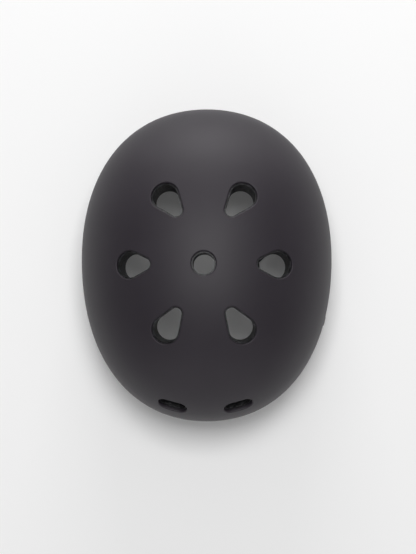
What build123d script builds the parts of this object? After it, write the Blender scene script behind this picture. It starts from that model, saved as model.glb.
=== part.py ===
from build123d import *
import math
import os

# A hard-shell skateboard helmet resting on its rim. Millimetres, +Z up, brow at -Y, nape at +Y,
# the wearer's left at +X. The origin is on the floor, under the middle of the outline.

# Dome: horizontal egg-shaped sections, widest a little behind the middle.
length = 275.0
half_width = 110.0
wide_y = 5.0
wide_height = 56.0
crown_height = 160.0
crown_y = -5.5
tuck_share = 0.025
corner_share = 0.61
dome_exponent = 2.12
level_angles = (15.0, 30.0, 44.0, 57.0, 69.0, 79.0, 86.3)
skirt_depth = 8.0

front_reach = length / 2 + wide_y
rear_reach = length / 2 - wide_y
dome_rise = crown_height - wide_height

# Walls: the moulded shell, the foam liner in it and the comfort pads inside that.
shell_wall = 3.0
liner_fit = 0.3
foam_side = 20.0
foam_end = 25.0
foam_crown = 24.0
patch_fit = 0.15
patch_thick = 1.2
pad_fit = 0.3
pad_thick = 8.0

liner_outer = shell_wall + liner_fit
liner_inner = (liner_outer + foam_side, liner_outer + foam_end, liner_outer + foam_crown)

# Rim: raised over the brow, on the floor at the temples and the nape, arched over the ears.
# The lip round runs along it and around every vent, on the outer face.
temple_front_y = -56.0
ear_front_y = -26.0
ear_rear_y = 44.0
ear_rise = 22.0
brow_rise = 27.0
brow_sag = 7.0
rim_corner = 12.0
liner_recess = 5.0
lip_round = 1.0
cut_margin = 30.0

# Vents: one round crown vent, six teardrops around it, two in the brow and two at the nape.
crown_vent_radius = 10.2
teardrop_round = 11.8
teardrop_point = 6.0
teardrops = (
    ((62.0, 0.0), (48.8, 0.0)),
    ((32.2, 56.5), (22.4, 43.5)),
    ((31.4, -53.9), (22.6, -40.3)),
)
vent_tilt = 7.0
vent_plane_height = 143.0
vent_reach = 50.0
foam_step = 1.2
brow_vent = (28.7, -126.0, 101.0)
brow_vent_size = (25.0, 17.0)
brow_vent_climb = 25.0
brow_vent_spread = 12.0
nape_vent = (27.0, 128.0, 50.0)
nape_vent_size = (28.0, 15.0)
nape_vent_climb = 8.0
nape_vent_spread = 12.0
end_vent_corner_share = 0.46
end_vent_reach = 45.0

# Webbing and the line each side's yoke swings on.
web_wide = 15.0
web_thick = 1.2
web_fit = 0.2
swing_x = 92.5
swing_z = 2.75
front_exit_y = -40.0
rear_exit_y = 58.0
junction = (31.0, 2.0)
tab_gap = 0.3
tab_lean_share = 0.5
tab_flat_z = 20.0
tab_top_z = 34.0
rivet_z = 27.0
tab_wall_gap = 0.9

# Rivets that hold the webbing to the shell.
rivet_head = 5.0
rivet_dome = 1.9
rivet_seat = 0.2
rivet_shank = 2.3
rivet_fit = 0.1
washer_radius = 5.5
washer_thick = 1.0
washer_pocket = 1.0
rivet_tail = 3.2
rivet_tail_thick = 0.7

# Divider plate that gathers both straps and carries the chin strap on a bar.
divider_thick = 3.9
divider_bar_out = 11.6
divider_corner = 2.2
divider_web_margin = 2.0
pocket_start = 10.3
pocket_fit = 0.15
chin_out = 12.0
chin_z = 3.4
chin_angle = 61.0
chin_slot_fit = 0.35
bar_radius = 1.5
loop_fit = 0.1
divider_edge_round = 0.6

# Chin straps, folded back over the dividers, and the buckle halves at their ends. Lengths
# along a strap are counted from its bar on the divider, those in a buckle half from its end.
plug_start = 45.0
socket_start = 42.0
buckle_z = 8.3
buckle_wide = 24.0
buckle_corner = 3.0
buckle_round = 1.1
buckle_slot_wide = 16.2
socket_long = 35.5
socket_thick = 8.8
socket_frame = 8.5
socket_wall = 1.6
socket_side_wall = 2.2
socket_depth = 25.0
side_window = (13.5, 27.5)
plug_thick = 6.4
plug_frame = 11.5
plug_long = 17.0
plug_lock_bar = 8.0
guide_wide = 3.0
guide_thick = 3.2
guide_end = 35.0
prong_root = 2.0
prong_pivot = (15.4, 7.6)
prong_thick = 4.6
prong_gap = 0.25
prong_outline = (
    (15.4, 6.6), (24.0, 6.6), (34.0, 6.0), (37.0, 6.6), (37.0, 8.2),
    (33.0, 10.6), (28.0, 11.7), (24.6, 11.7), (24.0, 8.6), (15.4, 8.6),
)
prong_round = 0.5
flat_run = 26.5
socket_fold = 38.5
plug_dip = (38.0, 44.5)
tail_gap = 0.3
tail_end = 27.0
layer_bite = 0.05
keeper_at = 33.0
keeper_long = 4.0
keeper_wall = 0.9
keeper_fit = 0.25
keeper_round = 0.3

loop_inner = bar_radius + loop_fit
loop_outer = loop_inner + web_thick
loop_middle = loop_inner + web_thick / 2

# Comfort pads around the head: the way each faces, then its width as a share of the half width,
# and its height and how high it sits as shares of the crown height.
pads_around = {
    "brow_pad": (-90.0, (0.8364, 0.1875), 0.3313),
    "nape_pad": (90.0, (0.7636, 0.175), 0.5375),
    "left_temple_pad": (-40.0, (0.4909, 0.1875), 0.3438),
    "right_temple_pad": (220.0, (0.4909, 0.1875), 0.3438),
    "left_side_pad": (12.0, (0.5636, 0.175), 0.4125),
    "right_side_pad": (168.0, (0.5636, 0.175), 0.4125),
}
crown_pad_size = (0.2364 * half_width, 0.2036 * length)
crown_pads = {"crown_pad_front": -0.407 * front_reach, "crown_pad_rear": 0.3623 * rear_reach}
pad_corner = 9.0
pad_bevel = 2.6
patch_radius = 9.0
patch_spread = 17.0
crown_patch_spread = 15.0


def egg(side_inset, end_inset, share, centre):
    """One quarter-curved section of the dome, as a closed outline."""
    wide = (half_width - side_inset) * share
    front = centre - (front_reach - end_inset) * share
    rear = centre + (rear_reach - end_inset) * share
    for end in (rear, front):
        for side in (wide, -wide):
            Bezier(
                (side, centre),
                (side, centre + (end - centre) * corner_share),
                (side * corner_share, end),
                (0, end),
            )


def levels(top_inset):
    """Height, size and middle of each section, from under the rim to the crown."""
    for height in (-skirt_depth, wide_height / 2, wide_height):
        drop_share = 1 - height / wide_height
        yield height, 1 - tuck_share * drop_share**2, wide_y
    for angle in level_angles:
        rise_share = math.sin(math.radians(angle)) ** (2 / dome_exponent)
        share = math.cos(math.radians(angle)) ** (2 / dome_exponent)
        height = wide_height + (dome_rise - top_inset) * rise_share
        yield height, share, wide_y + (crown_y - wide_y) * rise_share**2


def dome(side_inset, end_inset, top_inset, mode=Mode.ADD):
    sections = []
    for height, share, centre in levels(top_inset):
        with BuildSketch(Plane.XY.offset(height)) as section:
            with BuildLine():
                egg(side_inset, end_inset, share, centre)
            make_face()
        sections.append(section.sketch.face())
    loft(sections, mode=mode)


def trim_rim(raised):
    """Cuts everything under the rim line, seen from the side."""
    low = -skirt_depth - cut_margin
    out = length / 2 + cut_margin
    with BuildSketch(Plane.YZ) as below:
        with BuildLine():
            Polyline(
                (ear_rear_y, raised), (out, raised), (out, low), (-out, low),
                (-out, brow_rise + raised),
            )
            ThreePointArc(
                (-out, brow_rise + raised),
                ((temple_front_y - out) / 2, brow_rise / 2 - brow_sag + raised),
                (temple_front_y, raised),
            )
            Line((temple_front_y, raised), (ear_front_y, raised))
            ThreePointArc(
                (ear_front_y, raised),
                ((ear_front_y + ear_rear_y) / 2, ear_rise + raised),
                (ear_rear_y, raised),
            )
        make_face()
        corners = below.vertices().filter_by(
            lambda v: abs(v.Y - raised) < liner_fit and abs(v.X) < out - liner_fit
        )
        fillet(corners, rim_corner)
    extrude(below.sketch, amount=half_width + cut_margin, both=True, mode=Mode.SUBTRACT)


def cut_vents(inset):
    """Cuts all eleven vents, each drawn smaller by the inset."""
    with Locations((0, crown_y, crown_height)):
        Cylinder(crown_vent_radius - inset, 2 * vent_reach, mode=Mode.SUBTRACT)
    lean = math.radians(vent_tilt)
    for side in (1, -1):
        for (round_x, round_y), (point_x, point_y) in teardrops:
            along = Vector(side * (round_x - point_x), round_y - point_y, 0).normalized()
            outward = Vector(side * round_x, round_y, 0).normalized()
            axis = outward * math.sin(lean) + Vector(0, 0, math.cos(lean))
            place = Plane(
                origin=(side * round_x, crown_y + round_y, vent_plane_height),
                x_dir=along - axis * along.dot(axis),
                z_dir=axis,
            )
            gap = math.hypot(round_x - point_x, round_y - point_y)
            with BuildSketch(place) as teardrop:
                Circle(teardrop_round - inset)
                with Locations((-gap, 0)):
                    Circle(teardrop_point - inset)
                make_hull()
            extrude(teardrop.sketch, amount=vent_reach, both=True, mode=Mode.SUBTRACT)
        for facing, (x, y, z), (wide, high), climb, spread in (
            (-1, brow_vent, brow_vent_size, brow_vent_climb, brow_vent_spread),
            (1, nape_vent, nape_vent_size, nape_vent_climb, nape_vent_spread),
        ):
            climb, spread = math.radians(climb), math.radians(spread)
            place = Plane(
                origin=(side * x, y, z),
                x_dir=(side * math.cos(spread), -facing * math.sin(spread), 0),
                z_dir=(
                    side * math.sin(spread) * math.cos(climb),
                    facing * math.cos(spread) * math.cos(climb),
                    math.sin(climb),
                ),
            )
            with BuildSketch(place) as slot:
                RectangleRounded(
                    wide - 2 * inset, high - 2 * inset,
                    (high - 2 * inset) * end_vent_corner_share,
                )
            extrude(slot.sketch, amount=end_vent_reach, both=True, mode=Mode.SUBTRACT)


def wall_at(y, inset):
    """Half width of the widest section at y, and the angle its wall turns by there."""
    reach = (rear_reach if y > wide_y else front_reach) - inset
    wide = half_width - inset
    low, high = 0.0, 1.0
    for _ in range(40):
        t = (low + high) / 2
        along = 3 * (1 - t) ** 2 * t * corner_share + 3 * (1 - t) * t**2 + t**3
        if along < abs(y - wide_y) / reach:
            low = t
        else:
            high = t
    x = wide * ((1 - t) ** 3 + 3 * (1 - t) ** 2 * t + 3 * (1 - t) * t**2 * corner_share)
    dx = -wide * 3 * (2 * (1 - t) * t * (1 - corner_share) + t**2 * corner_share)
    dy = reach * 3 * ((1 - t) ** 2 * corner_share + 2 * (1 - t) * t * (1 - corner_share))
    return x, math.degrees(math.atan2(-dx, dy)) * (1 if y > wide_y else -1)


def tuck_at(z):
    return 1 - tuck_share * (1 - z / wide_height) ** 2


# Where each strap leaves the liner, its slant to the junction and the place of its rivet.
exits = []
for exit_y in (front_exit_y, rear_exit_y):
    slant = (exit_y - junction[1]) / (swing_x - junction[0])
    exits.append((exit_y, slant, exit_y + slant * tab_lean_share * (rivet_z - swing_z)))


def rivet_plane(side, exit_at):
    """Plane on the outer wall at a rivet, its z axis pointing outward."""
    rivet_y = exit_at[2]
    wall, turn = wall_at(rivet_y, 0)
    turn = math.radians(turn)
    out = Vector(side * math.cos(turn), math.sin(turn), 0)
    return Plane(
        origin=(side * wall * tuck_at(rivet_z), rivet_y, rivet_z), x_dir=(0, 0, 1), z_dir=out
    )


def tab_loft(side, exit_at, grow_in, grow_out, grow_wide, heights, mode=Mode.ADD):
    """One strap end between shell and foam, or the room around it, flat about its rivet."""
    exit_y, slant, rivet_y = exit_at
    wall = rivet_plane(side, exit_at)
    turn = math.degrees(math.atan2(wall.z_dir.Y, side * wall.z_dir.X))
    middle = wall.origin - wall.z_dir * (tab_depth + web_thick / 2)
    sections = []
    for z in heights:
        y = exit_y + slant * tab_lean_share * (z - swing_z)
        flat = z >= tab_flat_z
        x = middle.X - (y - middle.Y) * wall.z_dir.Y / wall.z_dir.X if flat else side * swing_x
        chord = web_wide * math.hypot(1, slant * (tab_lean_share if flat else 1))
        with BuildSketch(Plane.XY.offset(z)) as section:
            with Locations(Location((x, y, 0), (0, 0, side * turn if flat else 0))):
                with Locations((side * (grow_out - grow_in) / 2, 0)):
                    Rectangle(web_thick + grow_in + grow_out, chord + 2 * grow_wide)
        sections.append(section.sketch.face())
    loft(sections, ruled=True, mode=mode)


def strap_plane(side, angle, height):
    """Level plane on a divider, its x axis along one strap."""
    turn = math.radians(angle)
    return Plane(
        origin=(side * junction[0], junction[1], height),
        x_dir=(side * math.cos(turn), math.sin(turn), 0),
        z_dir=(0, 0, 1),
    )


# Directions from the junction: out along both straps, and in toward the chin strap's bar.
strap_angles = [
    math.degrees(math.atan2(exit_at[0] - junction[1], swing_x - junction[0])) for exit_at in exits
]
bar_angle = 180 + chin_angle


def chin_plane(side):
    """Upright plane along a chin strap: x from its bar toward the buckle, y up."""
    turn = math.radians(bar_angle)
    inward = Vector(side * math.cos(turn), math.sin(turn), 0)
    start = Vector(side * junction[0], junction[1], 0) + inward * chin_out
    return Plane(origin=start, x_dir=-inward, z_dir=(-inward).cross(Vector(0, 0, 1)))


def chin_floor(side, height):
    """Level plane along a chin strap, x from its bar toward the buckle."""
    upright = chin_plane(side)
    return Plane(
        origin=upright.origin + Vector(0, 0, height), x_dir=upright.x_dir, z_dir=(0, 0, 1)
    )


parts = {}
sides = {"left": 1, "right": -1}
tab_bottom = swing_z + web_thick / 2 + tab_gap
tab_depth = shell_wall + tab_wall_gap
washer_depth = tab_depth + web_thick + rivet_fit
pocket_depth = washer_depth + washer_thick + rivet_tail_thick + washer_pocket

# Outer shell: one moulding with eleven vents and four rivet holes.
with BuildPart() as outer_shell:
    dome(0, 0, 0)
    dome(shell_wall, shell_wall, shell_wall, Mode.SUBTRACT)
    trim_rim(0)
    cut_vents(0)
    outside = outer_shell.faces().sort_by(SortBy.AREA)[-1]
    fillet(outside.edges(), lip_round)
    for side in sides.values():
        for exit_at in exits:
            with BuildSketch(rivet_plane(side, exit_at)) as hole:
                Circle(rivet_shank + rivet_fit)
            extrude(hole.sketch, amount=2 * shell_wall, both=True, mode=Mode.SUBTRACT)
parts["outer_shell"] = outer_shell

# Foam liner: the same vents a step smaller, with room for the four strap ends and washers.
with BuildPart() as foam_liner:
    dome(liner_outer, liner_outer, liner_outer)
    dome(*liner_inner, Mode.SUBTRACT)
    trim_rim(liner_recess)
    cut_vents(foam_step)
    for side in sides.values():
        for exit_at in exits:
            tab_loft(
                side, exit_at, tab_gap, foam_side / 2, tab_gap,
                (-skirt_depth, tab_bottom, tab_flat_z, tab_top_z + tab_gap), Mode.SUBTRACT,
            )
            with BuildSketch(rivet_plane(side, exit_at)) as pocket:
                Circle(washer_radius + rivet_seat)
            extrude(pocket.sketch, amount=-pocket_depth, mode=Mode.SUBTRACT)
parts["foam_liner"] = foam_liner


def facing(azimuth):
    """Upright plane inside the helmet that faces outward at an azimuth."""
    turn = math.radians(azimuth)
    return Plane(
        origin=(0, wide_y, 0),
        x_dir=(-math.sin(turn), math.cos(turn), 0),
        z_dir=(math.cos(turn), math.sin(turn), 0),
    )


def pad(plane, middle, size):
    """A cushion that lies along the foam, its outline drawn on a plane inside the helmet."""
    start = patch_fit + patch_thick + pad_fit
    with BuildPart() as cushion:
        dome(*(inset + start for inset in liner_inner))
        dome(*(inset + start + pad_thick for inset in liner_inner), Mode.SUBTRACT)
        with BuildSketch(plane) as outline:
            with Locations(middle):
                RectangleRounded(*size, pad_corner)
        extrude(outline.sketch, amount=length, mode=Mode.INTERSECT)
        front_and_back = cushion.faces().sort_by(SortBy.AREA)[-2:]
        chamfer([edge for face in front_and_back for edge in face.edges()], pad_bevel)
    return cushion


# Comfort pads: foam covered in cloth, held to the liner by hook patches.
level = Plane.XY.offset(wide_height)
for name, (azimuth, (wide, high), rise) in pads_around.items():
    size = (wide * half_width, high * crown_height)
    parts[name] = pad(facing(azimuth), (0, rise * crown_height), size)
for name, y in crown_pads.items():
    parts[name] = pad(level, (0, y), crown_pad_size)

# Hook patches: thin discs on the foam behind the pads.
with BuildPart(mode=Mode.PRIVATE) as patch_posts:
    for azimuth, _, rise in pads_around.values():
        z = rise * crown_height
        with BuildSketch(facing(azimuth)) as spots:
            with Locations((-patch_spread, z), (patch_spread, z)):
                Circle(patch_radius)
        extrude(spots.sketch, amount=length)
    with BuildSketch(level) as spots:
        for y in crown_pads.values():
            with Locations((0, y - crown_patch_spread), (0, y + crown_patch_spread)):
                Circle(patch_radius)
    extrude(spots.sketch, amount=length)
with BuildPart() as hook_patches:
    dome(*(inset + patch_fit for inset in liner_inner))
    dome(*(inset + patch_fit + patch_thick for inset in liner_inner), Mode.SUBTRACT)
    add(patch_posts.part, mode=Mode.INTERSECT)
parts["hook_patches"] = hook_patches

# Strap ends inside the shell, their rivets and their washers.
with BuildPart() as strap_rivets:
    for side in sides.values():
        for exit_at in exits:
            wall = rivet_plane(side, exit_at)
            with BuildSketch(wall.offset(rivet_seat)) as head:
                Circle(rivet_head)
            extrude(head.sketch, amount=rivet_dome)
            crown = wall.offset(rivet_seat + rivet_dome).origin
            rims = strap_rivets.edges().filter_by(GeomType.CIRCLE)
            fillet(rims.sort_by_distance(crown)[0], rivet_dome - rivet_fit)
            with BuildSketch(wall.offset(rivet_seat)) as shank:
                Circle(rivet_shank)
            extrude(shank.sketch, amount=-(rivet_seat + washer_depth + washer_thick))
            with BuildSketch(wall.offset(-washer_depth - washer_thick - rivet_seat)) as rolled:
                Circle(rivet_tail)
            extrude(rolled.sketch, amount=-rivet_tail_thick)
            with BuildSketch(wall.offset(-washer_depth - washer_thick)) as neck:
                Circle(rivet_shank)
            extrude(neck.sketch, amount=-rivet_seat)
parts["strap_rivets"] = strap_rivets

with BuildPart() as rivet_washers:
    for side in sides.values():
        for exit_at in exits:
            with BuildSketch(rivet_plane(side, exit_at).offset(-washer_depth)) as ring:
                Circle(washer_radius)
                Circle(rivet_shank + rivet_fit, mode=Mode.SUBTRACT)
            extrude(ring.sketch, amount=-washer_thick)
parts["rivet_washers"] = rivet_washers

for name, side in sides.items():
    for place, exit_at, angle in zip(("front", "rear"), exits, strap_angles):
        with BuildPart() as strap_end:
            tab_loft(side, exit_at, 0, 0, 0, (tab_bottom, tab_flat_z, tab_top_z))
            with BuildSketch(rivet_plane(side, exit_at)) as hole:
                Circle(rivet_shank + rivet_fit)
            extrude(hole.sketch, amount=-2 * tab_depth, mode=Mode.SUBTRACT)
        parts[f"{name}_{place}_strap_end"] = strap_end

        # Free strap from under the liner to the divider, its end rounded about the swing line.
        run = math.hypot(swing_x - junction[0], exit_at[0] - junction[1])
        with BuildPart() as strap:
            with BuildSketch(strap_plane(side, angle, swing_z - web_thick / 2)) as strip:
                with Locations(((pocket_start + run + web_wide) / 2, 0)):
                    Rectangle(run + web_wide - pocket_start, web_wide)
            extrude(strip.sketch, amount=web_thick)
            with BuildSketch(Plane.XY) as inboard:
                with Locations((side * (swing_x + web_thick / 2) / 2, 0)):
                    Rectangle(swing_x + web_thick / 2, length)
            extrude(inboard.sketch, amount=crown_height, mode=Mode.INTERSECT)
            outer_edges = strap.edges().filter_by(Axis.Y).filter_by(
                lambda edge: abs(abs(edge.center().X) - swing_x - web_thick / 2) < loop_fit
            )
            fillet(outer_edges, web_thick / 2 - layer_bite / 10)
        parts[f"{name}_{place}_strap"] = strap

    # Divider: a plate with a pocket for each strap and a bar for the chin strap's loop.
    with BuildPart() as divider:
        bottom = swing_z - divider_thick / 2
        half_end = web_wide / 2 + divider_web_margin - divider_corner
        with BuildSketch(strap_plane(side, 0, bottom)) as outline:
            for angle, out in (
                (strap_angles[0], divider_bar_out),
                (strap_angles[1], divider_bar_out),
                (bar_angle, chin_out),
            ):
                with Locations(Location((0, 0, 0), (0, 0, side * angle))):
                    with Locations((out, half_end), (out, -half_end)):
                        Circle(divider_corner)
            make_hull()
        extrude(outline.sketch, amount=divider_thick)
        fillet(divider.edges().filter_by(Axis.Z, reverse=True), divider_edge_round)
        for angle in strap_angles:
            with BuildSketch(
                strap_plane(side, angle, swing_z - web_thick / 2 - pocket_fit)
            ) as pocket:
                with Locations((pocket_start - pocket_fit + length / 4, 0)):
                    Rectangle(length / 2, web_wide + 2 * pocket_fit)
            extrude(pocket.sketch, amount=web_thick + 2 * pocket_fit, mode=Mode.SUBTRACT)
        slot_wide = web_wide + 2 * chin_slot_fit
        with BuildSketch(strap_plane(side, bar_angle, 0)) as slot:
            with Locations((chin_out - loop_outer - chin_slot_fit + length / 4, 0)):
                Rectangle(length / 2, slot_wide)
        extrude(slot.sketch, amount=2 * divider_thick, mode=Mode.SUBTRACT)
        with BuildSketch(chin_plane(side)) as bar:
            with Locations((0, chin_z)):
                Circle(bar_radius)
        extrude(bar.sketch, amount=slot_wide / 2 + divider_web_margin / 2, both=True)
    parts[f"{name}_divider"] = divider


def ribbon(*middle):
    """Side view of webbing through the given points, as thick as the webbing."""
    half = web_thick / 2
    Polygon(
        *[(x, y + half) for x, y in middle],
        *[(x, y - half) for x, y in reversed(middle)],
        align=None,
    )


def loop(x, y):
    with Locations((x, y)):
        Circle(loop_outer)


def loop_hole(x, y):
    with Locations((x, y)):
        Circle(loop_inner, mode=Mode.SUBTRACT)


strap_z = chin_z + loop_middle

# Left chin strap: looped on the divider, passed round the lock bar of the plug, its tail free.
lock_x = plug_start + plug_lock_bar
tail_z = strap_z + web_thick + tail_gap
with BuildPart() as left_chin_strap:
    with BuildSketch(chin_plane(1)) as profile:
        loop(0, chin_z)
        ribbon(
            (0, strap_z), (plug_dip[0], strap_z),
            (plug_dip[1], buckle_z - loop_middle), (lock_x, buckle_z - loop_middle),
        )
        loop(lock_x, buckle_z)
        ribbon(
            (tail_end, tail_z), (plug_dip[0], tail_z),
            (plug_dip[1], buckle_z + loop_middle), (lock_x, buckle_z + loop_middle),
        )
        loop_hole(0, chin_z)
        loop_hole(lock_x, buckle_z)
    extrude(profile.sketch, amount=web_wide / 2, both=True)
parts["left_chin_strap"] = left_chin_strap

# Right chin strap: looped on the divider and on the socket, its end stitched back on itself.
socket_bar = socket_start + bar_radius
with BuildPart() as right_chin_strap:
    rise_share = (socket_fold - flat_run) / (socket_bar - flat_run)
    fold_z = strap_z + (buckle_z + loop_middle - strap_z) * rise_share
    lap = web_thick - layer_bite
    with BuildSketch(chin_plane(-1)) as profile:
        loop(0, chin_z)
        ribbon((0, strap_z), (flat_run, strap_z), (socket_bar, buckle_z + loop_middle))
        loop(socket_bar, buckle_z)
        ribbon(
            (flat_run + web_thick, strap_z - lap), (socket_fold, fold_z - lap),
            (socket_bar, buckle_z - loop_middle),
        )
        loop_hole(0, chin_z)
        loop_hole(socket_bar, buckle_z)
    extrude(profile.sketch, amount=web_wide / 2, both=True)
parts["right_chin_strap"] = right_chin_strap

# Keeper: a ring that holds the strap's free tail down, sliding along both layers.
with BuildPart() as strap_keeper:
    low = strap_z - web_thick / 2 - keeper_fit
    high = tail_z + web_thick / 2 + keeper_fit
    side_plane = chin_plane(1)
    ring_plane = Plane(
        origin=side_plane.origin + side_plane.x_dir * (keeper_at - keeper_long / 2),
        x_dir=side_plane.z_dir, z_dir=side_plane.x_dir,
    )
    up = 1 if ring_plane.y_dir.Z > 0 else -1
    with BuildSketch(ring_plane) as ring:
        with Locations((0, up * (low + high) / 2)):
            RectangleRounded(
                web_wide + 2 * (keeper_fit + keeper_wall), high - low + 2 * keeper_wall,
                keeper_wall,
            )
            Rectangle(web_wide + 2 * keeper_fit, high - low, mode=Mode.SUBTRACT)
    extrude(ring.sketch, amount=keeper_long)
parts["strap_keeper"] = strap_keeper

# Socket half of the side-release buckle.
with BuildPart() as buckle_socket:
    with BuildSketch(chin_floor(-1, buckle_z)) as outline:
        with Locations((socket_start + socket_long / 2, 0)):
            RectangleRounded(socket_long, buckle_wide, buckle_corner)
    extrude(outline.sketch, amount=socket_thick / 2, both=True)
    fillet(buckle_socket.edges().filter_by(Axis.Z, reverse=True), buckle_round)
    with BuildSketch(chin_floor(-1, buckle_z)) as frame:
        with Locations((socket_start, 0)):
            Rectangle(2 * socket_frame, buckle_slot_wide)
    extrude(frame.sketch, amount=socket_thick, both=True, mode=Mode.SUBTRACT)
    with BuildSketch(chin_plane(-1)) as bar:
        with Locations((socket_bar, buckle_z)):
            Circle(bar_radius)
    extrude(bar.sketch, amount=buckle_slot_wide / 2 + bar_radius, both=True)
    mouth_wide = buckle_wide - 2 * socket_side_wall
    mouth_high = socket_thick - 2 * socket_wall
    with BuildSketch(chin_floor(-1, buckle_z)) as cavity:
        with Locations((socket_start + socket_long, 0)):
            Rectangle(2 * socket_depth, mouth_wide)
    extrude(cavity.sketch, amount=mouth_high / 2, both=True, mode=Mode.SUBTRACT)
    with BuildSketch(chin_floor(-1, buckle_z)) as windows:
        with Locations((socket_start + sum(side_window) / 2, 0)):
            Rectangle(side_window[1] - side_window[0], 2 * buckle_wide)
    extrude(windows.sketch, amount=mouth_high / 2, both=True, mode=Mode.SUBTRACT)
parts["buckle_socket"] = buckle_socket

# Plug half: frame with its end bar and lock bar, block, guide, and room for the prong roots.
with BuildPart() as buckle_plug:
    with BuildSketch(chin_floor(1, buckle_z)) as outline:
        with Locations((plug_start + plug_long / 2, 0)):
            RectangleRounded(plug_long, buckle_wide, buckle_corner / 2)
    extrude(outline.sketch, amount=plug_thick / 2, both=True)
    fillet(buckle_plug.edges().filter_by(Axis.Z, reverse=True), buckle_round)
    with BuildSketch(chin_floor(1, buckle_z)) as frame:
        with Locations((plug_start, 0)):
            Rectangle(2 * plug_frame, buckle_slot_wide)
    extrude(frame.sketch, amount=plug_thick, both=True, mode=Mode.SUBTRACT)
    with BuildSketch(chin_plane(1)) as bars:
        with Locations((plug_start + bar_radius, buckle_z), (lock_x, buckle_z)):
            Circle(bar_radius)
    extrude(bars.sketch, amount=buckle_slot_wide / 2 + bar_radius, both=True)
    with BuildSketch(chin_floor(1, buckle_z)) as guide:
        with Locations((plug_start + (plug_frame + guide_end) / 2, 0)):
            Rectangle(guide_end - plug_frame, guide_wide)
    extrude(guide.sketch, amount=guide_thick / 2, both=True)
    with BuildSketch(chin_floor(1, buckle_z)) as sockets:
        for across in (1, -1):
            with Locations((plug_start + prong_pivot[0], across * prong_pivot[1])):
                Circle(prong_root + prong_gap)
    extrude(sockets.sketch, amount=plug_thick, both=True, mode=Mode.SUBTRACT)
parts["buckle_plug"] = buckle_plug

# Prongs: springy arms with a catch and a thumb face, squeezed in to open the buckle.
for place, across in (("inner", 1), ("outer", -1)):
    with BuildPart() as prong:
        with BuildSketch(chin_floor(1, buckle_z)) as arm:
            with Locations((plug_start + prong_pivot[0], across * prong_pivot[1])):
                Circle(prong_root)
            Polygon(
                *[(plug_start + x, across * y) for x, y in prong_outline], align=None
            )
        extrude(arm.sketch, amount=prong_thick / 2, both=True)
    parts[f"plug_prong_{place}"] = prong

os.makedirs("parts", exist_ok=True)
for label, built in parts.items():
    built.part.label = label
    export_step(built.part, f"parts/{label}.step")
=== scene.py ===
import math

import bmesh
import bpy
from mathutils import Matrix, Vector
from mathutils.bvhtree import BVHTree


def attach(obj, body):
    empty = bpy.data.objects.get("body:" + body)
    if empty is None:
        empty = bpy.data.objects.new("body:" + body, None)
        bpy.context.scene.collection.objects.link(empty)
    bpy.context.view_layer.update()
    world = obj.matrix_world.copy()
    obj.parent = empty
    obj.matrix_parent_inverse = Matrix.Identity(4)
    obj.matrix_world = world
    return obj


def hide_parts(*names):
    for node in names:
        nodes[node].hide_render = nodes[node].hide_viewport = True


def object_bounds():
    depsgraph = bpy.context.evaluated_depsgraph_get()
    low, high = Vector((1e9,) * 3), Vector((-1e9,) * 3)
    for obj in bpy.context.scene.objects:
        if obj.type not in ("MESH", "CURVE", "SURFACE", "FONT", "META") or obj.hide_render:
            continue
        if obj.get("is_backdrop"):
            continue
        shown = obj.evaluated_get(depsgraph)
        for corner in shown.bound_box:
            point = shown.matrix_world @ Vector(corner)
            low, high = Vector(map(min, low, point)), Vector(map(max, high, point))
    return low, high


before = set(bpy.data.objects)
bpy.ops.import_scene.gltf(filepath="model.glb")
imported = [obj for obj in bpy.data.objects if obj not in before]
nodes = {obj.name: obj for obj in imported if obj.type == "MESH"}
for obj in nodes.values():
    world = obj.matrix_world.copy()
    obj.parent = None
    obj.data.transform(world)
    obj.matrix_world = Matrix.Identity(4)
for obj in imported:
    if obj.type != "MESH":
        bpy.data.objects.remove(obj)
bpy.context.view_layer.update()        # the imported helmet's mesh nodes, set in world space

# Outer shell. One injection moulding in ABS, 3 mm thick, with eleven vents and a rounded lip
# around each. It is sprayed in charcoal soft-touch paint, which is dry, smooth and a little violet.
SHELL_COLOUR = "201b22"
SHELL_PATCH = "28232a"
SHELL_ROUGHNESS = 0.56
SHELL_ROUGHNESS_SPREAD = 0.04
PAINT_IOR = 1.42
SHELL_PATCH_MM = 34.0
PAINT_GRAIN_MM = 0.9


def srgb(code):
    """Linear colour of an sRGB hex code."""
    parts = [int(code[i : i + 2], 16) / 255 for i in (0, 2, 4)]
    return [c / 12.92 if c <= 0.04045 else ((c + 0.055) / 1.055) ** 2.4 for c in parts] + [1.0]


def add(tree, kind, sockets=(), **settings):
    """Adds a node. A socket takes a number, a colour or another node's output."""
    node = tree.nodes.new("ShaderNode" + kind)
    for name, value in settings.items():
        setattr(node, name, value)
    for name, value in dict(sockets).items():
        if isinstance(value, bpy.types.NodeSocket):
            tree.links.new(value, node.inputs[name])
        else:
            node.inputs[name].default_value = value
    return node


def finish_named(name):
    """A new material with its node tree, its shader and its surface coordinates in millimetres."""
    made = bpy.data.materials.new(name)
    made.use_nodes = True
    tree = made.node_tree
    place = add(tree, "TexCoord")
    scaled = add(
        tree, "Mapping", {"Vector": place.outputs["Object"], "Scale": (1000, 1000, 1000)}
    )
    return made, tree, tree.nodes["Principled BSDF"], scaled.outputs["Vector"]


def dress(name, finish):
    """Gives a CAD piece its finish."""
    nodes[name].data.materials[0] = finish


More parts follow.
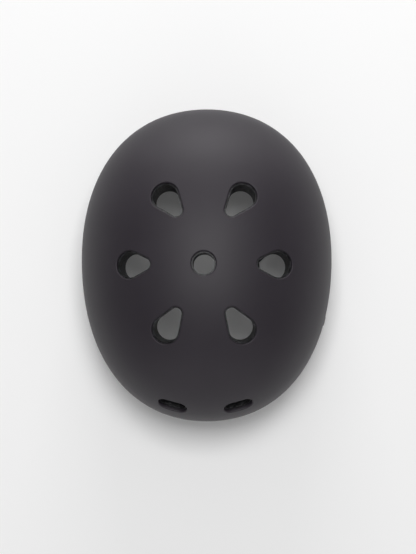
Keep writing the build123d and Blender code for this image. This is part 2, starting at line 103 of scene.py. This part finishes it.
soft_touch, tree, shader, mm = finish_named("soft_touch_paint_on_moulded_abs")
patches = add(
    tree, "TexNoise", {"Vector": mm, "Scale": 1 / SHELL_PATCH_MM, "Detail": 3.0, "Roughness": 0.55}
)
shade = add(
    tree, "Mix",
    {"Factor": patches.outputs["Fac"], 6: srgb(SHELL_COLOUR), 7: srgb(SHELL_PATCH)},
    data_type="RGBA",
)
grain = add(
    tree, "TexNoise", {"Vector": mm, "Scale": 1 / PAINT_GRAIN_MM, "Detail": 2.0}
)
rough = add(
    tree, "MapRange",
    {
        "Value": grain.outputs["Fac"],
        "To Min": SHELL_ROUGHNESS - SHELL_ROUGHNESS_SPREAD,
        "To Max": SHELL_ROUGHNESS + SHELL_ROUGHNESS_SPREAD,
    },
)
relief = add(
    tree, "Bump", {"Height": grain.outputs["Fac"], "Strength": 0.16, "Distance": 0.00005}
)
tree.links.new(shade.outputs[2], shader.inputs["Base Color"])
tree.links.new(rough.outputs["Result"], shader.inputs["Roughness"])
tree.links.new(relief.outputs["Normal"], shader.inputs["Normal"])
shader.inputs["IOR"].default_value = PAINT_IOR
dress("outer_shell", soft_touch)

# Foam liner. Black polystyrene beads steamed together in a mould, 20 to 25 mm thick. Each bead
# shows as a flat cell a few millimetres wide, with a fine dark line where it meets the next.
FOAM_COLOUR = "101011"
FOAM_BEAD_COLOUR = "3c3c3f"
FOAM_LINE_COLOUR = "070708"
BEAD_MM = 2.7

bead_foam, tree, shader, mm = finish_named("black_moulded_bead_foam")
beads = add(tree, "TexVoronoi", {"Vector": mm, "Scale": 1 / BEAD_MM, "Randomness": 0.9})
joints = add(
    tree, "TexVoronoi", {"Vector": mm, "Scale": 1 / BEAD_MM, "Randomness": 0.9},
    feature="DISTANCE_TO_EDGE",
)
tone = add(tree, "SeparateColor", {"Color": beads.outputs["Color"]})
bead_tone = add(
    tree, "Mix", {"Factor": tone.outputs["Red"], 6: srgb(FOAM_COLOUR), 7: srgb(FOAM_BEAD_COLOUR)},
    data_type="RGBA",
)
line = add(tree, "MapRange", {"Value": joints.outputs["Distance"], "From Max": 0.07})
dark_line = add(
    tree, "Mix",
    {"Factor": line.outputs["Result"], 6: srgb(FOAM_LINE_COLOUR), 7: bead_tone.outputs[2]},
    data_type="RGBA",
)
swell = add(
    tree, "MapRange", {"Value": joints.outputs["Distance"], "From Max": 0.32},
    interpolation_type="SMOOTHSTEP",
)
relief = add(
    tree, "Bump", {"Height": swell.outputs["Result"], "Strength": 0.7, "Distance": 0.0003}
)
tree.links.new(dark_line.outputs[2], shader.inputs["Base Color"])
tree.links.new(relief.outputs["Normal"], shader.inputs["Normal"])
shader.inputs["Roughness"].default_value = 0.5
dress("foam_liner", bead_foam)

# Hook patches. Woven hook tape cut in discs and glued to the foam behind each pad. The stiff
# hooks stand in rows and catch the light as fine specks.
HOOK_COLOUR = "1d1d1f"
HOOK_MM = 1.1

hook_tape, tree, shader, mm = finish_named("woven_hook_tape")
hooks = add(tree, "TexVoronoi", {"Vector": mm, "Scale": 1 / HOOK_MM, "Randomness": 0.35})
relief = add(
    tree, "Bump", {"Height": hooks.outputs["Distance"], "Strength": 0.8, "Distance": 0.0003},
    invert=True,
)
tree.links.new(relief.outputs["Normal"], shader.inputs["Normal"])
shader.inputs["Base Color"].default_value = srgb(HOOK_COLOUR)
shader.inputs["Roughness"].default_value = 0.7
dress("hook_patches", hook_tape)

# Comfort pads. Soft foam 8 mm thick between two layers of brushed cloth, which are sewn together
# around the edge, where the seam draws them in. Each curves along the foam, on its hook patches.
# The cloth is matt, with paler patches painted in as a sheen, where its nap lies the other way and
# catches the light.
PAD_COLOUR = "1d1d20"
PAD_NAP_SHEEN_COLOUR = "323237"
PAD_SEAM_COLOUR = "121214"
NAP_MM = 0.9
SHEEN_PATCH_MM = 10.0
PAD_STEP_MM = 2.0
PAD_EDGE_CUTS = 3                 # odd, so that one ring of vertices is the seam
PAD_CORNER_MM = 9.0
PAD_ROLL_MM = 5.0                 # how far in from the seam the edge is rounded
PAD_EDGE_SHARE = 0.3              # how thick it is at the seam, as a share of the middle
PAD_START_GAP_MM = 1.6            # the front starts this far inside its solid, and is blown up
PAD_SWELL_MM = 2.3
PAD_PULL_MM = 0.8                 # how far the sides draw in between the corners
PAD_SLACK = -0.05                 # the cloth is cut a twentieth larger than its frame
PAD_PRESSURE = 4.0
PAD_FRAMES = 20
PAD_PROBE = 0.86                  # rays meet the solid this share of the way to its edge
PAD_FAR = 0.3                     # metres out, which is past every pad
SEAM_LIP_MM = 0.5
PAD_CENTRE_MM = (0, 5, 0)
PADS_AROUND = {                   # degrees around the head, width, height, height above floor
    "brow_pad": (-90, 92, 30, 53),
    "nape_pad": (90, 84, 28, 86),
    "left_temple_pad": (-40, 54, 30, 55),
    "right_temple_pad": (220, 54, 30, 55),
    "left_side_pad": (12, 62, 28, 66),
    "right_side_pad": (168, 62, 28, 66),
}
CROWN_PADS = {"crown_pad_front": -58, "crown_pad_rear": 48}
CROWN_PAD_MM = (26, 56)
CROWN_PAD_BASE_MM = 56

pad_cloth, tree, shader, mm = finish_named("brushed_pad_cloth")
nap = add(tree, "TexNoise", {"Vector": mm, "Scale": 1 / NAP_MM, "Detail": 4.0, "Roughness": 0.7})
# Painted sheen: the base colour is paler in patches, and on the fine nap, where the cloth would
# catch the light.
sheen_patches = add(tree, "TexNoise", {"Vector": mm, "Scale": 1 / SHEEN_PATCH_MM, "Detail": 2.0})
sheen_mix = add(
    tree, "Math", {0: nap.outputs["Fac"], 1: sheen_patches.outputs["Fac"]}, operation="MULTIPLY"
)
sheen_share = add(tree, "MapRange", {"Value": sheen_mix.outputs[0], "From Min": 0.12, "From Max": 0.4})
sheen_tone = add(
    tree, "Mix",
    {"Factor": sheen_share.outputs["Result"], 6: srgb(PAD_COLOUR), 7: srgb(PAD_NAP_SHEEN_COLOUR)},
    data_type="RGBA",
)
sewn = add(tree, "Attribute", attribute_name="seam")
cloth_tone = add(
    tree, "Mix",
    {"Factor": sewn.outputs["Fac"], 6: sheen_tone.outputs[2], 7: srgb(PAD_SEAM_COLOUR)},
    data_type="RGBA",
)
relief = add(tree, "Bump", {"Height": nap.outputs["Fac"], "Strength": 0.5, "Distance": 0.0003})
tree.links.new(cloth_tone.outputs[2], shader.inputs["Base Color"])
tree.links.new(relief.outputs["Normal"], shader.inputs["Normal"])
shader.inputs["Roughness"].default_value = 0.9
shader.inputs["Sheen Weight"].default_value = 0.35
shader.inputs["Sheen Roughness"].default_value = 0.45
shader.inputs["Specular IOR Level"].default_value = 0.25


def show(name, mesh, finish):
    """A new object at the origin with that mesh and finish."""
    made = bpy.data.objects.new(name, mesh)
    bpy.context.scene.collection.objects.link(made)
    if not mesh.materials:
        mesh.materials.append(finish)
    return made


def cushion(name, centre, right, up, out, wide, high):
    """A pad cut and sewn to the outline of its CAD solid, seen along out, but not yet full."""
    solid = bmesh.new()
    solid.from_mesh(nodes[name].data)
    room = BVHTree.FromBMesh(solid)
    solid.free()

    def depths(foot):
        near, *_ = room.ray_cast(foot, out)
        back, *_ = room.ray_cast(foot + out * PAD_FAR, -out)
        return (near - foot).dot(out), (back - foot).dot(out)

    front_middle, back_middle = depths(centre)
    bm = bmesh.new()
    bmesh.ops.create_cube(bm, size=1)
    steps = round(wide / PAD_STEP_MM), round(high / PAD_STEP_MM), PAD_EDGE_CUTS
    for axis, cuts in enumerate(steps):
        along = [e for e in bm.edges if abs((e.verts[0].co - e.verts[1].co)[axis]) > 0.5]
        bmesh.ops.subdivide_edges(bm, edges=along, cuts=cuts, use_grid_fill=True)
    seam = bm.verts.layers.float.new("seam")
    held = []
    for vertex in bm.verts:
        x, y, z = vertex.co
        rim = max(abs(x), abs(y)) > 0.499
        reach = Vector((abs(x) * wide, abs(y) * high))
        inner = Vector((wide / 2 - PAD_CORNER_MM, high / 2 - PAD_CORNER_MM))
        beyond = reach - inner
        from_edge = min(wide / 2 - reach.x, high / 2 - reach.y)
        if beyond.x > 0 and beyond.y > 0:
            reach = inner + beyond * (max(beyond) / beyond.length)
        reach.x -= PAD_PULL_MM * max(0, 1 - 4 * y * y) * (2 * abs(x)) ** 4
        reach.y -= PAD_PULL_MM * max(0, 1 - 4 * x * x) * (2 * abs(y)) ** 4
        on_seam = rim and abs(z) < 0.01
        if on_seam:
            reach += reach.normalized() * SEAM_LIP_MM
            vertex[seam] = 1
        across = math.copysign(reach.x, x) / 1000
        rise = math.copysign(reach.y, y) / 1000
        front, back = depths(centre + (right * across + up * rise) * PAD_PROBE)
        front = front_middle + (front - front_middle) / PAD_PROBE**2 + PAD_START_GAP_MM / 1000
        back = back_middle + (back - back_middle) / PAD_PROBE**2
        inward = 1 - min(1, from_edge / PAD_ROLL_MM)
        share = PAD_EDGE_SHARE + (1 - PAD_EDGE_SHARE) * math.sqrt(1 - inward * inward)
        depth = (front + back) / 2 + z * (back - front) * share
        vertex.co = centre + right * across + up * rise + out * depth
        if on_seam or z > 0.49:
            held.append(vertex.index)
    bmesh.ops.recalc_face_normals(bm, faces=bm.faces)
    bm.verts.index_update()
    mesh = bpy.data.meshes.new(name + "_sewn")
    bm.to_mesh(mesh)
    bm.free()
    made = show(name + "_cushion", mesh, pad_cloth)
    made.vertex_groups.new(name="held").add(held, 1.0, "REPLACE")
    return made


cushions = {}
for name, (azimuth, wide, high, height) in PADS_AROUND.items():
    turn = math.radians(azimuth)
    out = Vector((math.cos(turn), math.sin(turn), 0))
    centre = (Vector(PAD_CENTRE_MM) + Vector((0, 0, height))) / 1000
    across = Vector((-out.y, out.x, 0))
    cushions[name] = cushion(name, centre, across, Vector((0, 0, 1)), out, wide, high)
for name, place in CROWN_PADS.items():
    centre = Vector((0, place, CROWN_PAD_BASE_MM)) / 1000
    axes = Vector((1, 0, 0)), Vector((0, 1, 0)), Vector((0, 0, 1))
    cushions[name] = cushion(name, centre, *axes, *CROWN_PAD_MM)

# The foam inside swells the cloth: the sewn edge and the side on the hook patches are held, and
# the rest is blown up by cloth simulation, then kept from going further than the foam would push.
for made in cushions.values():
    cloth = made.modifiers.new("filling", "CLOTH")
    cloth.settings.vertex_group_mass = "held"
    cloth.settings.use_pressure = True
    cloth.settings.uniform_pressure_force = PAD_PRESSURE
    cloth.settings.shrink_min = PAD_SLACK
    cloth.settings.effector_weights.gravity = 0
    cloth.collision_settings.use_collision = False
for frame_number in range(1, PAD_FRAMES + 1):
    bpy.context.scene.frame_set(frame_number)
graph = bpy.context.evaluated_depsgraph_get()
for made in cushions.values():
    swollen = made.evaluated_get(graph).to_mesh()
    pairs = zip(swollen.vertices, made.data.vertices)
    moves = [after.co - before.co for after, before in pairs]
    made.evaluated_get(graph).to_mesh_clear()
    for vertex, move in zip(made.data.vertices, moves):
        most = PAD_SWELL_MM / 1000
        if move.length > 0:
            vertex.co += move * (most * math.tanh(move.length / most) / move.length)
    made.modifiers.clear()
bpy.context.scene.frame_set(1)
for name, made in cushions.items():
    made.vertex_groups.clear()
    made.data.shade_smooth()
    soft = made.modifiers.new("rounded", "SUBSURF")
    soft.levels = soft.render_levels = 1
    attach(made, "helmet")
    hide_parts(name)

# Rivets and washers. Steel, pressed cold and lacquered black, with a soft shine. The domed heads
# sit on the shell, and the washers spread the pull of the webbing in pockets of the foam.
LACQUER_COLOUR = "1c1c1f"
LACQUER_FLOW_MM = 1.4

lacquered, tree, shader, mm = finish_named("black_lacquered_pressed_steel")
flow = add(tree, "TexNoise", {"Vector": mm, "Scale": 1 / LACQUER_FLOW_MM, "Detail": 2.0})
relief = add(tree, "Bump", {"Height": flow.outputs["Fac"], "Strength": 0.1, "Distance": 0.00005})
tree.links.new(relief.outputs["Normal"], shader.inputs["Normal"])
shader.inputs["Base Color"].default_value = srgb(LACQUER_COLOUR)
shader.inputs["Roughness"].default_value = 0.34
shader.inputs["Coat Weight"].default_value = 0.4
shader.inputs["Coat Roughness"].default_value = 0.2
for name in ("strap_rivets", "rivet_washers"):
    dress(name, lacquered)

# Webbing. Polyester tape 15 mm wide and 1.2 mm thick, woven in a fine herringbone, with rounded
# edges that catch a thin line of light. Each length is a band in the room of its CAD solid.
# The weave's thread crests are painted paler and its grooves darker, a painted highlight and shade
# that bring out the herringbone.
WEB_COLOUR = "19191b"
WEB_CREST_HIGHLIGHT_COLOUR = "2a2a2d"
THREAD_MM = 1.25                  # coarser than the real 0.5 mm, which is too fine to show
HERRINGBONE_MM = 1.9
WEB_EDGE_MM = 0.42
WEB_FUZZ_MM = 0.7
WEB_EDGE_STEPS = 3
WEB_MERGE = 2e-6                  # metres
WEB_FLAT_DEG = 1                  # faces this close to one plane are joined
WEB_CORNER_DEG = 60               # sharper edges than this are rounded
WEB_SMOOTH_DEG = 40
UV_UNIT_MM = 100                  # a strap's UV counts lengths of 100 mm

webbing_cloth, tree, shader, mm = finish_named("black_herringbone_webbing")
flat = add(tree, "UVMap", uv_map="strap_mm")
parts = add(tree, "SeparateXYZ", {"Vector": flat.outputs["UV"]})
zigzag = add(
    tree, "Math", {0: parts.outputs["Y"], 1: HERRINGBONE_MM / UV_UNIT_MM}, operation="PINGPONG"
)
slanted = add(tree, "Math", {0: parts.outputs["X"], 1: zigzag.outputs[0]}, operation="ADD")
turns = add(
    tree, "Math", {0: slanted.outputs[0], 1: UV_UNIT_MM * math.tau / THREAD_MM},
    operation="MULTIPLY",
)
thread = add(tree, "Math", {0: turns.outputs[0]}, operation="SINE")
thread_share = add(
    tree, "MapRange", {"Value": thread.outputs[0], "From Min": -1.0}
)
fuzz = add(tree, "TexNoise", {"Vector": mm, "Scale": 1 / WEB_FUZZ_MM, "Detail": 3.0})
# Painted highlight and shade: paler on the threads' crests, darker in the grooves between them.
weave_highlight_tone = add(
    tree, "Mix",
    {"Factor": thread_share.outputs["Result"], 6: srgb(WEB_COLOUR), 7: srgb(WEB_CREST_HIGHLIGHT_COLOUR)},
    data_type="RGBA",
)
height = add(
    tree, "Math", {0: thread_share.outputs["Result"], 1: fuzz.outputs["Fac"]}, operation="ADD"
)
relief = add(tree, "Bump", {"Height": height.outputs[0], "Strength": 0.55, "Distance": 0.0002})
tree.links.new(weave_highlight_tone.outputs[2], shader.inputs["Base Color"])
tree.links.new(relief.outputs["Normal"], shader.inputs["Normal"])
shader.inputs["Roughness"].default_value = 0.72
shader.inputs["Sheen Weight"].default_value = 0.2


def band(name, body, heading, upright=False):
    """Webbing in the room of a CAD strap, whose length runs along heading, in degrees."""
    turn = math.radians(heading)
    along = Vector((0, 0, 1)) if upright else Vector((math.cos(turn), math.sin(turn), 0))
    across = Vector((-math.sin(turn), math.cos(turn), 0))
    bm = bmesh.new()
    bm.from_mesh(nodes[name].data)
    bmesh.ops.remove_doubles(bm, verts=bm.verts, dist=WEB_MERGE)
    bmesh.ops.dissolve_limit(
        bm, angle_limit=math.radians(WEB_FLAT_DEG), verts=bm.verts, edges=bm.edges,
        use_dissolve_boundaries=False,
    )
    sharp = [
        edge for edge in bm.edges
        if len(edge.link_faces) == 2 and edge.calc_face_angle() > math.radians(WEB_CORNER_DEG)
    ]
    bmesh.ops.bevel(
        bm, geom=sharp, offset=WEB_EDGE_MM / 1000, offset_type="OFFSET", segments=WEB_EDGE_STEPS,
        profile=0.5, affect="EDGES", material=-1, clamp_overlap=True,
    )
    bmesh.ops.triangulate(bm, faces=[face for face in bm.faces if len(face.verts) > 4])
    flat_map = bm.loops.layers.uv.new("strap_mm")
    for face in bm.faces:
        for corner in face.loops:
            place = corner.vert.co * (1000 / UV_UNIT_MM)
            corner[flat_map].uv = (place.dot(along), place.dot(across))
    mesh = bpy.data.meshes.new(name + "_webbing")
    bm.to_mesh(mesh)
    bm.free()
    mesh.shade_smooth()
    mesh.set_sharp_from_angle(angle=math.radians(WEB_SMOOTH_DEG))
    made = show(name + "_webbing", mesh, webbing_cloth)
    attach(made, body)
    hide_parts(name)
    return made


SWING_MM = (92.5, -40.0, 58.0)    # how far out the straps leave the foam, then front and rear
JUNCTION_MM = (31.0, 2.0)
CHIN_HEADING = 61.0
for side, turn in (("left", 1), ("right", -1)):
    for place, exit_mm in (("front", SWING_MM[1]), ("rear", SWING_MM[2])):
        run = (SWING_MM[0] - JUNCTION_MM[0], exit_mm - JUNCTION_MM[1])
        heading = math.degrees(math.atan2(run[1], turn * run[0]))
        band(f"{side}_{place}_strap", f"{side}_yoke", heading)
        band(f"{side}_{place}_strap_end", "helmet", 90, upright=True)
    heading = CHIN_HEADING if turn > 0 else 180 - CHIN_HEADING
    band(f"{side}_chin_strap", f"{side}_chin", heading)

# Bar tacks. Two rows of bonded thread sewn across the lap of the right chin strap, which hold its
# end back on itself. Each stitch is a short raised bead of thread, drawn a little into the weave.
TACK_START_MM = (-25.18, -8.5)    # the divider's bar that the strap is looped on
TACK_ROWS_MM = (29.4, 32.0)       # along the strap, from that bar
TACK_STITCHES = 8
STITCH_PITCH_MM = 1.62
STITCH_MM = 1.4
STITCH_THICK_MM = 0.5
STITCH_FLATNESS = 0.7
PLY_MM = 0.25
LAP_PROBES = ((0.03, -1), (-0.02, 1))   # height in metres and way of a ray, from each side
THREAD_COLOUR = "2f2f33"

thread_finish, tree, shader, mm = finish_named("black_bonded_thread")
ply = add(tree, "TexNoise", {"Vector": mm, "Scale": 1 / PLY_MM, "Detail": 1.0})
relief = add(tree, "Bump", {"Height": ply.outputs["Fac"], "Strength": 0.4, "Distance": 0.0001})
tree.links.new(relief.outputs["Normal"], shader.inputs["Normal"])
shader.inputs["Base Color"].default_value = srgb(THREAD_COLOUR)
shader.inputs["Roughness"].default_value = 0.45
solid = bmesh.new()
solid.from_mesh(nodes["right_chin_strap"].data)
lap = BVHTree.FromBMesh(solid)
solid.free()
turn = math.radians(180 - CHIN_HEADING)
along = Vector((math.cos(turn), math.sin(turn), 0))
across = Vector((-along.y, along.x, 0))
bm = bmesh.new()
for row in TACK_ROWS_MM:
    for place in range(TACK_STITCHES):
        off = (place - (TACK_STITCHES - 1) / 2) * STITCH_PITCH_MM
        foot = (Vector(TACK_START_MM).to_3d() + along * row + across * off) / 1000
        for height, way in LAP_PROBES:
            spot, normal, *_ = lap.ray_cast(foot + Vector((0, 0, height)), Vector((0, 0, way)))
            axes = Matrix((across.cross(normal), normal, across)).transposed().to_4x4()
            size = Vector((STITCH_THICK_MM, STITCH_THICK_MM * STITCH_FLATNESS, STITCH_MM)) / 2000
            bmesh.ops.create_uvsphere(
                bm, u_segments=6, v_segments=4, radius=1,
                matrix=Matrix.Translation(spot) @ axes @ Matrix.Diagonal(size).to_4x4(),
            )
tack_mesh = bpy.data.meshes.new("right_chin_tacks")
bmesh.ops.recalc_face_normals(bm, faces=bm.faces)
bm.to_mesh(tack_mesh)
bm.free()
tack_mesh.shade_smooth()
tacks = show("right_chin_tacks", tack_mesh, thread_finish)
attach(tacks, "right_chin")

# Dividers and buckle. Acetal, moulded in black with a fine spark texture that leaves it satin.
# The plug's two springy prongs click into the socket's side windows.
ACETAL_COLOUR = "1d1d1f"
SPARK_MM = 0.35
CLOUD_MM = 6.0

acetal, tree, shader, mm = finish_named("satin_moulded_acetal")
spark = add(tree, "TexNoise", {"Vector": mm, "Scale": 1 / SPARK_MM, "Detail": 2.0})
cloud = add(tree, "TexNoise", {"Vector": mm, "Scale": 1 / CLOUD_MM, "Detail": 2.0})
rough = add(
    tree, "MapRange", {"Value": cloud.outputs["Fac"], "To Min": 0.34, "To Max": 0.46}
)
relief = add(tree, "Bump", {"Height": spark.outputs["Fac"], "Strength": 0.25, "Distance": 0.00005})
tree.links.new(rough.outputs["Result"], shader.inputs["Roughness"])
tree.links.new(relief.outputs["Normal"], shader.inputs["Normal"])
shader.inputs["Base Color"].default_value = srgb(ACETAL_COLOUR)
shader.inputs["IOR"].default_value = 1.48
for name in (
    "left_divider", "right_divider", "buckle_plug", "buckle_socket",
    "plug_prong_inner", "plug_prong_outer",
):
    dress(name, acetal)

# Keeper. A small ring of moulded rubber that slides along the left chin strap and holds its
# free tail down. The skin is matt and hardly shines.
RUBBER_COLOUR = "171718"
RUBBER_SKIN_MM = 0.5

rubber, tree, shader, mm = finish_named("matt_moulded_rubber")
skin = add(tree, "TexNoise", {"Vector": mm, "Scale": 1 / RUBBER_SKIN_MM, "Detail": 2.0})
relief = add(tree, "Bump", {"Height": skin.outputs["Fac"], "Strength": 0.3, "Distance": 0.0001})
tree.links.new(relief.outputs["Normal"], shader.inputs["Normal"])
shader.inputs["Base Color"].default_value = srgb(RUBBER_COLOUR)
shader.inputs["Roughness"].default_value = 0.62
dress("strap_keeper", rubber)

# Floor. A flat white sheet, seamless to the edge of the view. A soft box overhead and a little to
# the rear throws the short shadow at the brow, a low strip and a box behind light the nape, and a
# wide panel fills in from the front.
FLOOR_COLOUR = "eeeeee"
FLOOR_SIZE = 8.0
FIBRE_MM = 2.0
FLOOR_LIFT = 0.065                # added where the view meets the paper, which keeps it white

paper, tree, shader, mm = finish_named("matt_white_paper")
fibre = add(tree, "TexNoise", {"Vector": mm, "Scale": 1 / FIBRE_MM, "Detail": 3.0})
relief = add(tree, "Bump", {"Height": fibre.outputs["Fac"], "Strength": 0.02, "Distance": 0.0001})
tree.links.new(relief.outputs["Normal"], shader.inputs["Normal"])
shader.inputs["Base Color"].default_value = srgb(FLOOR_COLOUR)
shader.inputs["Roughness"].default_value = 0.9
shader.inputs["Specular IOR Level"].default_value = 0.0
seen = add(tree, "LightPath")
direct = add(
    tree, "Math", {0: seen.outputs["Is Camera Ray"], 1: seen.outputs["Is Glossy Ray"]},
    operation="MAXIMUM",
)
plain = add(
    tree, "Math", {0: direct.outputs[0], 1: seen.outputs["Is Transmission Ray"]},
    operation="MAXIMUM",
)
lift = add(tree, "Math", {0: plain.outputs[0], 1: FLOOR_LIFT}, operation="MULTIPLY")
shader.inputs["Emission Color"].default_value = (1, 1, 1, 1)
tree.links.new(lift.outputs[0], shader.inputs["Emission Strength"])
bm = bmesh.new()
bmesh.ops.create_grid(bm, x_segments=1, y_segments=1, size=FLOOR_SIZE / 2)
floor_mesh = bpy.data.meshes.new("floor")
bm.to_mesh(floor_mesh)
bm.free()
floor = show("floor", floor_mesh, paper)
floor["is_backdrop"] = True

WORLD_LEVEL = 0.26
world = bpy.data.worlds.new("studio")
bpy.context.scene.world = world
world.use_nodes = True
world.node_tree.nodes["Background"].inputs["Color"].default_value = (1, 1, 1, 1)
world.node_tree.nodes["Background"].inputs["Strength"].default_value = WORLD_LEVEL

# Each lamp's place, what it is aimed at, and its size, in metres, then its watts.
for name, place, target, size, watts in (
    ("overhead_softbox", (0.05, 0.3, 1.75), (0.0, 0.0, 0.05), (0.6, 0.6), 18.0),
    ("rear_strip", (0.0, 1.5, 0.26), (0.0, 0.0, 0.26), (2.4, 0.45), 9.0),
    ("rear_box", (0.0, 1.5, 0.5), (0.0, 0.0, 0.1), (0.7, 0.6), 8.5),
    ("front_panel", (0.0, -1.5, 0.6), (0.0, 0.0, 0.6), (2.4, 1.0), 6.5),
):
    lamp = bpy.data.lights.new(name, "AREA")
    lamp.shape = "RECTANGLE"
    lamp.size, lamp.size_y = size
    lamp.energy = watts
    holder = bpy.data.objects.new(name, lamp)
    bpy.context.scene.collection.objects.link(holder)
    holder.location = place
    aim = Vector(target) - Vector(place)
    holder.rotation_euler = aim.to_track_quat("-Z", "Y").to_euler()

# Camera. It looks almost straight down, a little from the brow and from the wearer's left.
CAMERA_DISTANCE = 1.5
CAMERA_TARGET = (0.00106, -0.0103, 0.052)
CAMERA_TILT = (1.4, -3.5)         # degrees toward the wearer's left and toward the nape
CAMERA_LENS = 110.16

camera = bpy.data.cameras.new("camera")
camera.lens = CAMERA_LENS
camera.sensor_width = 36.0
camera.clip_start, camera.clip_end = 0.05, 20.0
viewer = bpy.data.objects.new("camera", camera)
bpy.context.scene.collection.objects.link(viewer)
back = Vector([math.tan(math.radians(angle)) for angle in CAMERA_TILT] + [1]).normalized()
right = Vector((0, 1, 0)).cross(back).normalized()
up = back.cross(right)
viewer.matrix_world = Matrix.Translation(
    Vector(CAMERA_TARGET) + back * CAMERA_DISTANCE
) @ Matrix((right, up, back)).transposed().to_4x4()
bpy.context.scene.camera = viewer

bpy.context.scene.view_settings.view_transform = "Standard"

low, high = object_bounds()
